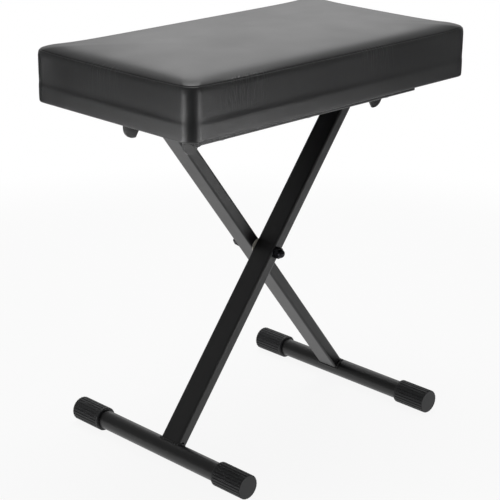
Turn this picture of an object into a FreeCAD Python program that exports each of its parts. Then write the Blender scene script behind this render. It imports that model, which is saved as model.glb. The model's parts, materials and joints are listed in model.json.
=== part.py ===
import FreeCAD, Part
import math
import os

# Folding keyboard bench, in millimetres. X runs along the seat, Y across it, +Z is up.
# The origin is on the floor, under the middle of the seat.
# The front leg frame stands on the left foot bar and carries the right crossbar; the rear one mirrors it.

# Seat
SEAT_LENGTH = 500.0
SEAT_WIDTH = 280.7
SEAT_UNDERSIDE_Z = 462.0
SIDE_BAND_HEIGHT = 65.0
CROWN_HEIGHT = 6.5
CORNER_RADIUS = 20.0
SIDE_DRAW_IN = 1.2
EDGE_TUCK = 1.6
COVER_THICKNESS = 1.2
HEM_WIDTH = 26.0
BOARD_THICKNESS = 12.0

# Rails under the seat, square to the crossbars
RAIL_LENGTH = 389.0
RAIL_WIDTH = 25.0
RAIL_HEIGHT = 20.0
RAIL_CORNER_RADIUS = 2.0
RAIL_CENTRE_Y = 84.5
RAIL_SCREW_PITCH = 150.0

# Leg frames
PIVOT_X = 3.0
PIVOT_Z = 246.3
LEAN_DEG = 52.5
LEG_WIDTH = 32.6
LEG_THICKNESS = 16.0
LEG_GAP = 0.8
LEG_PAST_BAR = 2.5
TUBE_WALL = 1.5
TUBE_CORNER_RADIUS = 3.0
FOOT_TUBE_RADIUS = 12.5
FOOT_BAR_LENGTH = 319.0
CAP_RADIUS = 16.0
CAP_LENGTH = 50.0
CAP_END_THICKNESS = 3.5
CAP_COLLAR = 2.5
CAP_EDGE_RADIUS = 1.2
CAP_RIB_COUNT = 24
CAP_GROOVE_RADIUS = 1.1
CAP_GROOVE_CENTRE_RADIUS = 16.35
FLOOR_FLAT_DEPTH = 0.2
DRAIN_HOLE_RADIUS = 2.5

# Crossbars and the hooks that hold them
CROSSBAR_RADIUS = 8.0
CROSSBAR_LENGTH = 120.0
CROSSBAR_Z = 435.0
HOOK_PLATE = 3.0
HOOK_CENTRE_Y = 53.0
HOOK_OUTBOARD_X = 181.5
HOOK_INBOARD_X = 150.0
HOOK_TIP_X = 156.5
HOOK_BOTTOM_Z = 416.8
HOOK_ROUND_RADIUS = 15.0
HOOK_FLANGE_WIDTH = 20.0
HINGE_CLEARANCE = 0.08
LATCH_CLEARANCE = 0.3
LATCH_FLARE_DEG = 22.0

# Fasteners
BOLT_RADIUS = 4.0
BUSH_RADIUS = 6.0
FIT_CLEARANCE = 0.05
HEX_ACROSS_FLATS = 13.0
WASHER_RADIUS = 8.0
WASHER_THICKNESS = 1.6
RAIL_SCREW_RADIUS = 3.0
RAIL_SCREW_HOLE_RADIUS = 3.3
RAIL_SCREW_HEAD_RADIUS = 5.8
RAIL_SCREW_HEAD_HEIGHT = 3.2
RAIL_SCREW_KEY_RADIUS = 2.3
RAIL_SCREW_KEY_DEPTH = 2.0
TEE_NUT_FLANGE_RADIUS = 9.5
TEE_NUT_FLANGE_THICKNESS = 1.5
TEE_NUT_BARREL_RADIUS = 4.2
TEE_NUT_BARREL_LENGTH = 9.0
WOOD_SCREW_RADIUS = 2.2
WOOD_SCREW_HEAD_RADIUS = 4.2
WOOD_SCREW_HEAD_HEIGHT = 2.2
WOOD_SCREW_SHANK = 11.0
WOOD_SCREW_POINT = 2.5
DRIVER_SLOT = 1.0
DOME_RADIUS = 5.9
BOLT_HEAD_HEIGHT = 5.3
NUT_HEX_HEIGHT = 6.0
BOLT_PAST_WASHER = 8.0
SPACER_RADIUS = 11.0

# Places worked out from the sizes above
LEAN = math.radians(LEAN_DEG)
TILT_FROM_UPRIGHT = 90.0 - LEAN_DEG
LEG_CENTRE_Y = (LEG_WIDTH + LEG_GAP) / 2
LEG_OUTER_Y = LEG_WIDTH + LEG_GAP / 2
BAR_OFFSET = LEG_THICKNESS / 2 + CROSSBAR_RADIUS
PIVOT_TO_BAR = (CROSSBAR_Z - PIVOT_Z + BAR_OFFSET * math.cos(LEAN)) / math.sin(LEAN)
BAR_REACH = PIVOT_TO_BAR * math.cos(LEAN) + BAR_OFFSET * math.sin(LEAN)
FOOT_Z = CAP_RADIUS - FLOOR_FLAT_DEPTH
PIVOT_TO_FOOT = (PIVOT_Z - FOOT_Z) / math.sin(LEAN)
FOOT_REACH = PIVOT_TO_FOOT * math.cos(LEAN)
LEG_TOP = PIVOT_TO_BAR + LEG_PAST_BAR
PLUG_HEAD = 2.5
PLUG_DEPTH = 12.0
BOARD_BOTTOM_Z = SEAT_UNDERSIDE_Z + COVER_THICKNESS
BOARD_TOP_Z = BOARD_BOTTOM_Z + BOARD_THICKNESS
RAIL_BOTTOM_Z = SEAT_UNDERSIDE_Z - RAIL_HEIGHT
HOOK_FLANGE_Z = SEAT_UNDERSIDE_Z - HOOK_PLATE
HOOK_SCREW_Y = HOOK_CENTRE_Y + HOOK_FLANGE_WIDTH / 2
HOOK_SCREW_X = (158.0, 173.5)

Vec = FreeCAD.Vector
X_AXIS, Y_AXIS, Z_AXIS = Vec(1, 0, 0), Vec(0, 1, 0), Vec(0, 0, 1)
ORIGIN = Vec(0, 0, 0)


def box(x_low, x_high, y_low, y_high, z_low, z_high):
    return Part.makeBox(x_high - x_low, y_high - y_low, z_high - z_low, Vec(x_low, y_low, z_low))


def rod(radius, start, end):
    return Part.makeCylinder(radius, (end - start).Length, start, end - start)


def fuse(shapes):
    joined = shapes[0]
    for shape in shapes[1:]:
        joined = joined.fuse(shape)
    return joined.removeSplitter()


def rounded_rectangle(half_x, half_y, radius, z):
    """A closed wire of four lines and four quarter arcs, centred on the Z axis."""
    edges = []
    corners = ((1, 1), (-1, 1), (-1, -1), (1, -1))
    for turn, (sx, sy) in enumerate(corners):
        centre = Vec(sx * (half_x - radius), sy * (half_y - radius), z)
        start, end = math.radians(90 * turn), math.radians(90 * turn + 90)
        points = [centre + Vec(math.cos(a), math.sin(a), 0) * radius for a in (start, (start + end) / 2, end)]
        edges.append(Part.Arc(*points).toShape())
        next_x, next_y = corners[(turn + 1) % 4]
        following = Vec(next_x * (half_x - radius), next_y * (half_y - radius), z)
        edges.append(Part.makeLine(points[2], following + Vec(math.cos(end), math.sin(end), 0) * radius))
    return Part.Wire(edges)


def rectangular_bar(half_x, half_y, radius, z_low, z_high):
    face = Part.Face(rounded_rectangle(half_x, half_y, radius, z_low))
    return face.extrude(Vec(0, 0, z_high - z_low))


def rectangular_tube(half_x, half_y, radius, z_low, z_high):
    outside = rectangular_bar(half_x, half_y, radius, z_low, z_high)
    inside = rectangular_bar(half_x - TUBE_WALL, half_y - TUBE_WALL, radius - TUBE_WALL, z_low, z_high)
    return outside.cut(inside)


def round_tube(radius, start, end):
    return rod(radius, start, end).cut(rod(radius - TUBE_WALL, start, end))


def hexagon(across_flats, y_low, y_high, x, z):
    """A hexagonal prism along Y."""
    reach = across_flats / math.sqrt(3)
    turns = [math.radians(60 * i) for i in range(7)]
    points = [Vec(x + reach * math.cos(a), y_low, z + reach * math.sin(a)) for a in turns]
    return Part.Face(Part.makePolygon(points)).extrude(Vec(0, y_high - y_low, 0))


# Seat

def cushion_form(inset):
    """The upholstered block: sides drawn in between their edges, and a crowned top."""
    half_x = SEAT_LENGTH / 2 - inset
    half_y = SEAT_WIDTH / 2 - inset
    seam_z = SEAT_UNDERSIDE_Z + SIDE_BAND_HEIGHT - inset
    bottom_z = SEAT_UNDERSIDE_Z + inset
    levels = (
        (bottom_z, EDGE_TUCK),
        (bottom_z + 6, 0.0),
        (bottom_z + SIDE_BAND_HEIGHT / 2, SIDE_DRAW_IN),
        (seam_z - 6, 0.2),
        (seam_z, 0.8),
        (seam_z + 2 * CROWN_HEIGHT, 1.6),
    )
    wires = [rounded_rectangle(half_x - draw, half_y - draw, CORNER_RADIUS - inset, z) for z, draw in levels]
    sides = Part.makeLoft(wires, True, False)
    sections = []
    for share in (-1.0, -0.55, 0.0, 0.55, 1.0):
        crown = 0.3 + CROWN_HEIGHT * (1 - share ** 2)
        x = share * (half_x + 2)
        reach = half_y + 2
        low_left, low_right = Vec(x, -reach, bottom_z - 5), Vec(x, reach, bottom_z - 5)
        left, right = Vec(x, -reach, seam_z), Vec(x, reach, seam_z)
        top = Part.Arc(right, Vec(x, 0, seam_z + crown), left).toShape()
        around = ((left, low_left), (low_left, low_right), (low_right, right))
        sections.append(Part.Wire([Part.makeLine(*ends) for ends in around] + [top]))
    return sides.common(Part.makeLoft(sections, True, False))


def underside_opening(z_low, z_high):
    half_x, half_y = SEAT_LENGTH / 2 - HEM_WIDTH, SEAT_WIDTH / 2 - HEM_WIDTH
    return rectangular_bar(half_x, half_y, CORNER_RADIUS / 2, z_low, z_high)


def rail_screw_places():
    return [(x, side * RAIL_CENTRE_Y) for side in (-1, 1) for x in (-RAIL_SCREW_PITCH, 0.0, RAIL_SCREW_PITCH)]


def tee_nut(x, y):
    """A flange on top of the board and a threaded barrel in it."""
    length = TEE_NUT_BARREL_LENGTH + TEE_NUT_FLANGE_THICKNESS
    bottom = Vec(x, y, BOARD_TOP_Z - TEE_NUT_BARREL_LENGTH)
    flange = Part.makeCylinder(TEE_NUT_FLANGE_RADIUS, TEE_NUT_FLANGE_THICKNESS, Vec(x, y, BOARD_TOP_Z))
    barrel = Part.makeCylinder(TEE_NUT_BARREL_RADIUS, TEE_NUT_BARREL_LENGTH, bottom)
    bore = Part.makeCylinder(RAIL_SCREW_RADIUS + FIT_CLEARANCE, length, bottom)
    return flange.fuse(barrel).cut(bore)


def rail_screw(x, y):
    """A button-headed screw with a hexagonal socket, driven up through the rail into its tee nut."""
    head_bottom = Vec(x, y, RAIL_BOTTOM_Z - RAIL_SCREW_HEAD_HEIGHT)
    head = Part.makeCylinder(RAIL_SCREW_HEAD_RADIUS, RAIL_SCREW_HEAD_HEIGHT, head_bottom)
    rim = [edge for edge in head.Edges if edge.BoundBox.ZMax < RAIL_BOTTOM_Z - RAIL_SCREW_HEAD_HEIGHT / 2]
    head = head.makeFillet(RAIL_SCREW_HEAD_HEIGHT / 2, rim)
    turns = [math.radians(60 * i) for i in range(7)]
    key = [head_bottom + Vec(math.cos(a), math.sin(a), 0) * RAIL_SCREW_KEY_RADIUS for a in turns]
    socket = Part.Face(Part.makePolygon(key)).extrude(Vec(0, 0, RAIL_SCREW_KEY_DEPTH))
    shank = Part.makeCylinder(RAIL_SCREW_RADIUS, BOARD_TOP_Z - RAIL_BOTTOM_Z, Vec(x, y, RAIL_BOTTOM_Z))
    return head.fuse(shank).cut(socket)


def wood_screw(x, y):
    """A countersunk screw, flush with the hook's flange, driven up into the board."""
    bottom, height = Vec(x, y, HOOK_FLANGE_Z), WOOD_SCREW_HEAD_HEIGHT
    neck = bottom + Vec(0, 0, height)
    head = Part.makeCone(WOOD_SCREW_HEAD_RADIUS, WOOD_SCREW_RADIUS, height, bottom)
    shank = Part.makeCylinder(WOOD_SCREW_RADIUS, WOOD_SCREW_SHANK, neck)
    tip = Part.makeCone(WOOD_SCREW_RADIUS, 0.4, WOOD_SCREW_POINT, neck + Vec(0, 0, WOOD_SCREW_SHANK))
    reach, half = WOOD_SCREW_HEAD_RADIUS / 2, DRIVER_SLOT / 2
    cross = box(x - reach, x + reach, y - half, y + half, HOOK_FLANGE_Z, HOOK_FLANGE_Z + DRIVER_SLOT)
    return head.fuse(shank).fuse(tip).cut(cross).cut(cross.copy().rotate(Vec(x, y, 0), Z_AXIS, 90))


def hook_screw_places():
    return [(sx * x, sy * HOOK_SCREW_Y) for sy in (-1, 1) for sx in (-1, 1) for x in HOOK_SCREW_X]


def rail(side):
    centre_y, half = side * RAIL_CENTRE_Y, RAIL_LENGTH / 2
    tube = rectangular_tube(RAIL_HEIGHT / 2, RAIL_WIDTH / 2, RAIL_CORNER_RADIUS, -half, half)
    tube.rotate(ORIGIN, Y_AXIS, 90)
    tube.translate(Vec(0, centre_y, SEAT_UNDERSIDE_Z - RAIL_HEIGHT / 2))
    for x, y in rail_screw_places():
        if y == centre_y:
            hole_bottom = Vec(x, y, RAIL_BOTTOM_Z - RAIL_HEIGHT / 2)
            tube = tube.cut(Part.makeCylinder(RAIL_SCREW_HOLE_RADIUS, 2 * RAIL_HEIGHT, hole_bottom))
    return tube


def rail_end_plugs():
    """The plastic inserts that close both ends of both rails."""
    plugs = []
    inside = TUBE_WALL + FIT_CLEARANCE
    centre_z = SEAT_UNDERSIDE_Z - RAIL_HEIGHT / 2
    for side_x in (-1, 1):
        for side_y in (-1, 1):
            head = rectangular_bar(RAIL_HEIGHT / 2, RAIL_WIDTH / 2, RAIL_CORNER_RADIUS, 0.0, PLUG_HEAD)
            stem = rectangular_bar(RAIL_HEIGHT / 2 - inside, RAIL_WIDTH / 2 - inside, RAIL_CORNER_RADIUS / 2,
                                   -PLUG_DEPTH, 0.0)
            plug = head.fuse(stem)
            plug.rotate(ORIGIN, Y_AXIS, side_x * 90)
            plug.translate(Vec(side_x * RAIL_LENGTH / 2, side_y * RAIL_CENTRE_Y, centre_z))
            plugs.append(plug)
    return Part.makeCompound(plugs)


def hook_profile(side_x):
    """The hook's outline in the XZ plane: an arm, a rounded back and a lip under the crossbar."""
    back, bottom = HOOK_OUTBOARD_X, HOOK_BOTTOM_Z
    radius = HOOK_ROUND_RADIUS
    corner = Vec(back - radius, 0, bottom + radius)
    middle = corner + Vec(radius * math.sin(math.pi / 4), 0, -radius * math.cos(math.pi / 4))
    lip_bottom, lip_tip = Vec(HOOK_TIP_X + 6.5, 0, bottom), Vec(HOOK_TIP_X, 0, CROSSBAR_Z - CROSSBAR_RADIUS)
    arm_low = Vec(HOOK_INBOARD_X, 0, CROSSBAR_Z)
    arm_top, back_top = Vec(HOOK_INBOARD_X, 0, SEAT_UNDERSIDE_Z), Vec(back, 0, SEAT_UNDERSIDE_Z)
    edges = [
        Part.makeLine(back_top, Vec(back, 0, bottom + radius)),
        Part.Arc(Vec(back, 0, bottom + radius), middle, Vec(back - radius, 0, bottom)).toShape(),
        Part.makeLine(Vec(back - radius, 0, bottom), lip_bottom),
        Part.makeLine(lip_bottom, lip_tip),
        Part.makeLine(lip_tip, arm_low),
        Part.makeLine(arm_low, arm_top),
        Part.makeLine(arm_top, back_top),
    ]
    face = Part.Face(Part.Wire(edges))
    return face if side_x > 0 else face.mirror(ORIGIN, X_AXIS)


def hook_pocket(side_x):
    """The room that the crossbar lies in: round at its closed end and open towards the middle of the seat."""
    hinge = side_x > 0
    radius = CROSSBAR_RADIUS + (HINGE_CLEARANCE if hinge else LATCH_CLEARANCE)
    flare = 0.0 if hinge else math.radians(LATCH_FLARE_DEG)
    bar_x = PIVOT_X + side_x * BAR_REACH
    reach = 60.0
    thick = 4 * HOOK_PLATE
    low = Vec(bar_x, 0, CROSSBAR_Z - radius)
    low_end = low - Vec(side_x * reach, 0, 0)
    high = Vec(bar_x + side_x * radius * math.sin(flare), 0, CROSSBAR_Z + radius * math.cos(flare))
    high_end = high + Vec(-side_x * reach * math.cos(flare), 0, reach * math.sin(flare))
    mouth = Part.Face(Part.makePolygon([low, low_end, high_end, high, Vec(bar_x, 0, CROSSBAR_Z), low]))
    mouth = mouth.extrude(Vec(0, thick, 0))
    pocket = mouth.fuse(Part.makeCylinder(radius, thick, Vec(bar_x, 0, CROSSBAR_Z), Y_AXIS))
    pocket.translate(Vec(0, -thick / 2, 0))
    return pocket


def hook(side_x, side_y):
    ear = hook_profile(side_x).extrude(Vec(0, HOOK_PLATE, 0))
    ear.translate(Vec(0, -HOOK_PLATE / 2, 0))
    x_low, x_high = sorted((side_x * HOOK_INBOARD_X, side_x * HOOK_OUTBOARD_X))
    y_low, y_high = sorted((-side_y * HOOK_PLATE / 2, side_y * (HOOK_FLANGE_WIDTH - HOOK_PLATE / 2)))
    flange = box(x_low, x_high, y_low, y_high, HOOK_FLANGE_Z, SEAT_UNDERSIDE_Z)
    bracket = fuse([ear.cut(hook_pocket(side_x)), flange])
    bracket.translate(Vec(0, side_y * HOOK_CENTRE_Y, 0))
    for x in HOOK_SCREW_X:
        bracket = bracket.cut(wood_screw_hole(side_x * x, side_y * HOOK_SCREW_Y))
    return bracket


def wood_screw_hole(x, y):
    bottom = Vec(x, y, HOOK_FLANGE_Z)
    head_radius, shank_radius = WOOD_SCREW_HEAD_RADIUS + FIT_CLEARANCE, WOOD_SCREW_RADIUS + FIT_CLEARANCE
    length = WOOD_SCREW_HEAD_HEIGHT + WOOD_SCREW_SHANK + WOOD_SCREW_POINT
    countersink = Part.makeCone(head_radius, shank_radius, WOOD_SCREW_HEAD_HEIGHT, bottom)
    return countersink.fuse(Part.makeCylinder(shank_radius, length, bottom))


def seat_pieces():
    outer, inner = cushion_form(0.0), cushion_form(COVER_THICKNESS)
    opening = underside_opening(SEAT_UNDERSIDE_Z - 1, BOARD_BOTTOM_Z)
    cover = outer.cut(inner).cut(opening)
    span = SEAT_LENGTH
    board_slab = box(-span, span, -span, span, BOARD_BOTTOM_Z - 5, BOARD_TOP_Z)
    board = inner.common(board_slab)
    foam = inner.cut(board_slab)
    dust = underside_opening(SEAT_UNDERSIDE_Z, BOARD_BOTTOM_Z)
    for x, y in rail_screw_places():
        on_board = Vec(x, y, BOARD_TOP_Z)
        down = Vec(0, 0, -1)
        hole = Part.makeCylinder(RAIL_SCREW_HOLE_RADIUS, 2 * BOARD_THICKNESS, on_board, down)
        barrel = Part.makeCylinder(TEE_NUT_BARREL_RADIUS, TEE_NUT_BARREL_LENGTH, on_board, down)
        board = board.cut(hole).cut(barrel)
        dust = dust.cut(hole)
        foam = foam.cut(Part.makeCylinder(TEE_NUT_FLANGE_RADIUS, TEE_NUT_FLANGE_THICKNESS, on_board))
    for x, y in hook_screw_places():
        board = board.cut(wood_screw_hole(x, y))
        dust = dust.cut(wood_screw_hole(x, y))
    pieces = {
        "seat_cover": cover,
        "seat_foam": foam,
        "seat_board": board,
        "dust_cover": dust,
        "front_rail": rail(-1),
        "rear_rail": rail(1),
        "rail_end_plugs": rail_end_plugs(),
        "rail_screws": Part.makeCompound([rail_screw(x, y) for x, y in rail_screw_places()]),
        "rail_tee_nuts": Part.makeCompound([tee_nut(x, y) for x, y in rail_screw_places()]),
        "hook_screws": Part.makeCompound([wood_screw(x, y) for x, y in hook_screw_places()]),
    }
    for x_name, side_x in (("left", -1), ("right", 1)):
        for y_name, side_y in (("front", -1), ("rear", 1)):
            pieces[f"{x_name}_{y_name}_hook"] = hook(side_x, side_y)
    return pieces


# Leg frames
# Each leg is drawn upright with its pivot at the origin, then leaned over and moved to its place.
# side is 1 for the front leg, whose top leans to +X, and -1 for the rear leg.

def lean_over(shape, side):
    shape.rotate(ORIGIN, Y_AXIS, side * TILT_FROM_UPRIGHT)
    shape.translate(Vec(PIVOT_X, -side * LEG_CENTRE_Y, PIVOT_Z))
    return shape


def foot_place(side):
    return PIVOT_X - side * FOOT_REACH


def leg_tube(side):
    tube = rectangular_tube(LEG_THICKNESS / 2, LEG_WIDTH / 2, TUBE_CORNER_RADIUS, -PIVOT_TO_FOOT, LEG_TOP)
    across = Vec(0, LEG_WIDTH, 0)
    tube = tube.cut(rod(BUSH_RADIUS, -across, across))
    drain = Vec(0, 0, -PIVOT_TO_FOOT + FOOT_TUBE_RADIUS + 1.0)
    tube = tube.cut(rod(DRAIN_HOLE_RADIUS, drain - across, drain + across))
    tube = lean_over(tube, side)
    saddle = rod(FOOT_TUBE_RADIUS, Vec(foot_place(side), -100, FOOT_Z), Vec(foot_place(side), 100, FOOT_Z))
    return tube.cut(saddle)


def leg_plug(side):
    """The plastic insert that closes the leg's upper end."""
    head = rectangular_bar(LEG_THICKNESS / 2, LEG_WIDTH / 2, TUBE_CORNER_RADIUS, LEG_TOP, LEG_TOP + PLUG_HEAD)
    inside = FIT_CLEARANCE + TUBE_WALL
    stem = rectangular_tube(LEG_THICKNESS / 2 - inside, LEG_WIDTH / 2 - inside, TUBE_CORNER_RADIUS - 1.0,
                            LEG_TOP - PLUG_DEPTH, LEG_TOP)
    return lean_over(head.fuse(stem), side)


def leg_bush(side):
    half = Vec(0, LEG_WIDTH / 2, 0)
    sleeve = rod(BUSH_RADIUS, -half, half).cut(rod(BOLT_RADIUS + FIT_CLEARANCE, -half, half))
    return lean_over(sleeve, side)


def crossbar(side):
    x = PIVOT_X + side * BAR_REACH
    half = CROSSBAR_LENGTH / 2 - 2.0
    return round_tube(CROSSBAR_RADIUS, Vec(x, -half, CROSSBAR_Z), Vec(x, half, CROSSBAR_Z))


def crossbar_plugs(side):
    x = PIVOT_X + side * BAR_REACH
    plugs = []
    for end in (-1, 1):
        rim = Vec(x, end * (CROSSBAR_LENGTH / 2 - 2.0), CROSSBAR_Z)
        head = rod(CROSSBAR_RADIUS, rim, rim + Vec(0, end * 2.0, 0))
        stem = rod(CROSSBAR_RADIUS - TUBE_WALL - FIT_CLEARANCE, rim - Vec(0, end * 9.0, 0), rim)
        plugs.append(head.fuse(stem).removeSplitter())
    return Part.makeCompound(plugs)


def foot_bar(side):
    half = FOOT_BAR_LENGTH / 2 - CAP_END_THICKNESS
    x = foot_place(side)
    return round_tube(FOOT_TUBE_RADIUS, Vec(x, -half, FOOT_Z), Vec(x, half, FOOT_Z))


def foot_cap(side, end):
    """A rubber cap, flat where it meets the floor. Its grooves run out over the closed outer end."""
    outer_y = FOOT_BAR_LENGTH / 2
    body = Part.makeCylinder(CAP_RADIUS, CAP_LENGTH, Vec(0, outer_y - CAP_LENGTH, 0), Y_AXIS)
    rims = [edge for edge in body.Edges if abs(edge.CenterOfMass.y - outer_y) < 0.01]
    body = body.makeFillet(CAP_EDGE_RADIUS, rims)
    bore_depth = CAP_LENGTH - CAP_END_THICKNESS
    body = body.cut(Part.makeCylinder(FOOT_TUBE_RADIUS + FIT_CLEARANCE, bore_depth,
                                      Vec(0, outer_y - CAP_LENGTH, 0), Y_AXIS))
    grooves = []
    for i in range(CAP_RIB_COUNT):
        turn = 2 * math.pi * (i + 0.5) / CAP_RIB_COUNT
        centre = Vec(math.sin(turn), 0, math.cos(turn)) * CAP_GROOVE_CENTRE_RADIUS
        centre.y = outer_y - CAP_LENGTH + CAP_COLLAR
        grooves.append(Part.makeCylinder(CAP_GROOVE_RADIUS, CAP_LENGTH, centre, Y_AXIS))
    body = body.cut(grooves)
    if end < 0:
        body = body.mirror(ORIGIN, Y_AXIS)
    body.translate(Vec(foot_place(side), 0, FOOT_Z))
    below = box(-SEAT_LENGTH, SEAT_LENGTH, -SEAT_LENGTH, SEAT_LENGTH, -10, 0)
    return body.cut(below)


def pivot_washer(y_low, thickness, radius):
    centre = Vec(PIVOT_X, y_low, PIVOT_Z)
    top = centre + Vec(0, thickness, 0)
    return rod(radius, centre, top).cut(rod(BOLT_RADIUS + FIT_CLEARANCE, centre, top))


def pivot_bolt():
    head_y = LEG_OUTER_Y + WASHER_THICKNESS
    tip_y = -(head_y + BOLT_PAST_WASHER)
    shank = rod(BOLT_RADIUS, Vec(PIVOT_X, tip_y, PIVOT_Z), Vec(PIVOT_X, head_y, PIVOT_Z))
    return shank.fuse(hexagon(HEX_ACROSS_FLATS, head_y, head_y + BOLT_HEAD_HEIGHT, PIVOT_X, PIVOT_Z))


def pivot_nut():
    """A domed nut: a hexagon with a hollow cap over the bolt's end."""
    seat_y = -(LEG_OUTER_Y + WASHER_THICKNESS)
    dome_centre = Vec(PIVOT_X, seat_y - NUT_HEX_HEIGHT, PIVOT_Z)
    outside = hexagon(HEX_ACROSS_FLATS, seat_y - NUT_HEX_HEIGHT, seat_y, PIVOT_X, PIVOT_Z)
    outside = outside.fuse(Part.makeSphere(DOME_RADIUS, dome_centre))
    bore_end = Vec(PIVOT_X, seat_y - BOLT_PAST_WASHER - 1.0, PIVOT_Z)
    bore = rod(BOLT_RADIUS + FIT_CLEARANCE, Vec(PIVOT_X, seat_y, PIVOT_Z), bore_end)
    reach = HEX_ACROSS_FLATS
    beyond = box(PIVOT_X - reach, PIVOT_X + reach, seat_y, seat_y + reach, PIVOT_Z - reach, PIVOT_Z + reach)
    return outside.cut(bore).cut(beyond)


def frame_pieces(side):
    leg_name, foot_name, bar_name = ("front", "left", "right") if side > 0 else ("rear", "right", "left")
    return {
        f"{leg_name}_leg_tube": leg_tube(side),
        f"{leg_name}_leg_plug": leg_plug(side),
        f"{leg_name}_leg_bush": leg_bush(side),
        f"{bar_name}_crossbar": crossbar(side),
        f"{bar_name}_crossbar_plugs": crossbar_plugs(side),
        f"{foot_name}_foot_bar": foot_bar(side),
        f"{foot_name}_front_foot_cap": foot_cap(side, -1),
        f"{foot_name}_rear_foot_cap": foot_cap(side, 1),
    }


def pivot_pieces():
    outer = LEG_OUTER_Y
    spacer = LEG_GAP - 0.2
    washers = [pivot_washer(outer, WASHER_THICKNESS, WASHER_RADIUS),
               pivot_washer(-outer - WASHER_THICKNESS, WASHER_THICKNESS, WASHER_RADIUS)]
    return {
        "pivot_bolt": pivot_bolt(),
        "pivot_nut": pivot_nut(),
        "pivot_washers": Part.makeCompound(washers),
        "pivot_spacer": pivot_washer(-spacer / 2, spacer, SPACER_RADIUS),
    }


os.makedirs("parts", exist_ok=True)
bench = {**seat_pieces(), **frame_pieces(1), **frame_pieces(-1), **pivot_pieces()}
for name, shape in bench.items():
    shape.exportStep(f"parts/{name}.step")
    print(name, "solids", len(shape.Solids), "valid", shape.isValid(), "volume", round(shape.Volume))
print("crossbars at x", round(PIVOT_X - BAR_REACH, 2), round(PIVOT_X + BAR_REACH, 2), "z", CROSSBAR_Z)
print("feet at x", round(foot_place(1), 2), round(foot_place(-1), 2), "z", round(FOOT_Z, 2))
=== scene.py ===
# %% [markdown]
# # A folding keyboard bench
# The bench is a padded seat on a scissor frame: two leaning legs that cross at a bolt, each with a foot bar below
# and a crossbar above, and four hooks under the seat that hold the crossbars. The metal and plastic pieces come
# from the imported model, which fixes every size. Here they get their finishes, and the soft seat, the ribbed rubber
# caps, the welds and the staples are made again with the detail that the real ones show.

import json
import math

import bmesh
import bpy
import numpy as np
from mathutils import Matrix, Vector


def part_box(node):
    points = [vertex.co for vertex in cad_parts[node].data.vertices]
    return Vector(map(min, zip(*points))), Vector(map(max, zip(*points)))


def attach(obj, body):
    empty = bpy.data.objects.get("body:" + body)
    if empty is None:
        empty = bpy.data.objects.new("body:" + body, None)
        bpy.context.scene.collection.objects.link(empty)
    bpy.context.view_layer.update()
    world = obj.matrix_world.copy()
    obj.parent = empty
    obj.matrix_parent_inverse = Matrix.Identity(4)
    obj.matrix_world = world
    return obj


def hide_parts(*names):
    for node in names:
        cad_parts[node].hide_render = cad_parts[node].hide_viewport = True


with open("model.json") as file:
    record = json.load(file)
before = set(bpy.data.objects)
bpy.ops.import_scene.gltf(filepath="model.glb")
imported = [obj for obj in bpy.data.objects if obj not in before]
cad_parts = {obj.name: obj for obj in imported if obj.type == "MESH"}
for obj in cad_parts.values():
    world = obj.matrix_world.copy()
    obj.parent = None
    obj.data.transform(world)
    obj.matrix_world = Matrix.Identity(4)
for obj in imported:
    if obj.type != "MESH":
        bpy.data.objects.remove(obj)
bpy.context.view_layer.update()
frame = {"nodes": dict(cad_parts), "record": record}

# %% [markdown]
# Real sizes are easier to read in millimetres, and Blender counts in metres, so one short function turns one into
# the other. Colours are written as the hex values a paint card would give, and another function turns them to the
# linear values that shaders expect. The third helper adds a node to any tree, for materials and for geometry alike:
# an input that is given a socket is linked to it, and any other value is set. The rest are the steps that most
# materials share.

# %% Helpers for sizes, colours and nodes
def mm(*values):
    metres = [value / 1000 for value in values]
    return metres[0] if len(metres) == 1 else Vector(metres)


def hex_colour(code):
    """An sRGB hex code as a linear colour with full alpha."""
    parts = [int(code[i:i + 2], 16) / 255 for i in (1, 3, 5)]
    linear = [p / 12.92 if p <= 0.04045 else ((p + 0.055) / 1.055) ** 2.4 for p in parts]
    return (*linear, 1.0)


def add(tree, kind, inputs=None, **settings):
    """Adds one node, with its settings and its inputs, which are values or the sockets to link."""
    node = tree.nodes.new(kind)
    for name, value in settings.items():
        setattr(node, name, value)
    for name, value in (inputs or {}).items():
        if isinstance(value, bpy.types.NodeSocket):
            tree.links.new(value, node.inputs[name])
        else:
            node.inputs[name].default_value = value
    return node


def new_material(name):
    """An empty node material and its tree."""
    material = bpy.data.materials.new(name)
    material.use_nodes = True
    material.node_tree.nodes.clear()
    return material, material.node_tree


def finish_material(tree, shader):
    add(tree, "ShaderNodeOutputMaterial", {"Surface": shader})


def blend(tree, factor, *colours):
    """A colour between two others, which are hex codes or sockets."""
    first, second = [hex_colour(colour) if isinstance(colour, str) else colour for colour in colours]
    return add(tree, "ShaderNodeMix", {"Factor": factor, "A": first, "B": second}, data_type="RGBA").outputs["Result"]


def bump(tree, height, strength, distance, **more):
    """The normal of a bumpy surface. More may be the normal of the bumps below it."""
    inputs = {"Height": height, "Strength": strength, "Distance": distance, **more}
    return add(tree, "ShaderNodeBump", inputs).outputs["Normal"]


def principled(tree, colour, roughness, normal, **more):
    """Ends a material with the usual shader. More may be its IOR or how metallic it is."""
    inputs = {"Base Color": colour, "Roughness": roughness, "Normal": normal, **more}
    finish_material(tree, add(tree, "ShaderNodeBsdfPrincipled", inputs).outputs["BSDF"])


# %% [markdown]
# ## Faux leather
# The seat is covered in PVC faux leather: a cloth with a soft black skin that is embossed with a fine grain. It is
# semi-matt, so it shows a broad, soft reflection of whatever is bright, and it looks pale where the light grazes
# the top. The grain's pebbles are under a millimetre across, so they are drawn a little coarser. Where the border
# is sewn to the top, the cover puckers into fine creases that fan down from the seam. They are a bump pattern on
# the cover's own UV map, which counts metres around the seat and metres below the seam.

# %% Faux leather
GRAIN_SIZE = mm(1.5)
CREASE_WIDTH = mm(4.2)
CREASE_LENGTH = mm(32)
CREASE_DEPTH = mm(0.35)


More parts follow.
